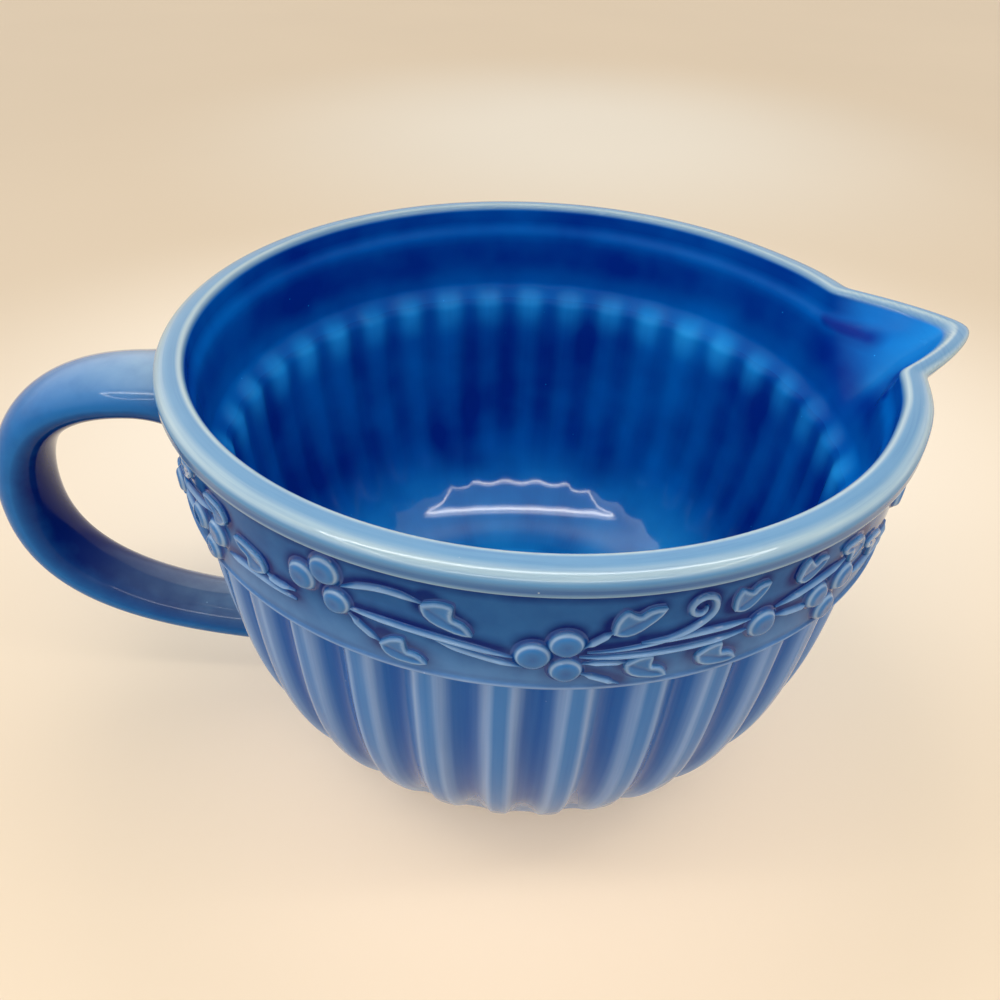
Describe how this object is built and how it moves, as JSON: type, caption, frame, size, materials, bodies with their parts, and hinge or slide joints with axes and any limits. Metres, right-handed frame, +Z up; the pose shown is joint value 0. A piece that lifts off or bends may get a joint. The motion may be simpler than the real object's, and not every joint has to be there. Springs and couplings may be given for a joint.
{
  "type": "batter bowl",
  "caption": "Round glazed stoneware mixing bowl with a fluted wall, a band of raised berry vine, a rolled rim, a pointed pouring spout and a loop handle.",
  "frame": {"origin": "centre of the foot ring's underside, on the table", "axes": "+Z up along the bowl's axis, +X towards the spout, -X towards the handle"},
  "size_m": [0.2786, 0.2012, 0.1327],
  "materials": {
    "bare_clay": "unglazed fired stoneware",
    "wall_glaze": "gloss blue glaze, dark where it pools and pale on the ridges",
    "band_glaze": "gloss blue glaze pooled round the relief",
    "rim_glaze": "gloss light blue glaze, thin and pale on the edges",
    "handle_glaze": "gloss mid blue glaze",
    "sprig_glaze": "gloss blue glaze, pale on the raised edges"
  },
  "bodies": {
    "root": {"foot_ring": "bare_clay", "bowl_floor": "wall_glaze", "fluted_wall": "wall_glaze", "frieze_band": "band_glaze", "rim_bead": "rim_glaze", "pouring_spout": "rim_glaze", "handle": "handle_glaze", "berries_front": "sprig_glaze", "berries_right": "sprig_glaze", "berries_back": "sprig_glaze", "berries_left": "sprig_glaze", "leaves_front": "sprig_glaze", "leaves_right": "sprig_glaze", "leaves_back": "sprig_glaze", "leaves_left": "sprig_glaze", "stems_front": "sprig_glaze", "stems_right": "sprig_glaze", "stems_back": "sprig_glaze", "stems_left": "sprig_glaze", "tendril_front": "sprig_glaze", "tendril_back": "sprig_glaze"}
  },
  "joints": []
}
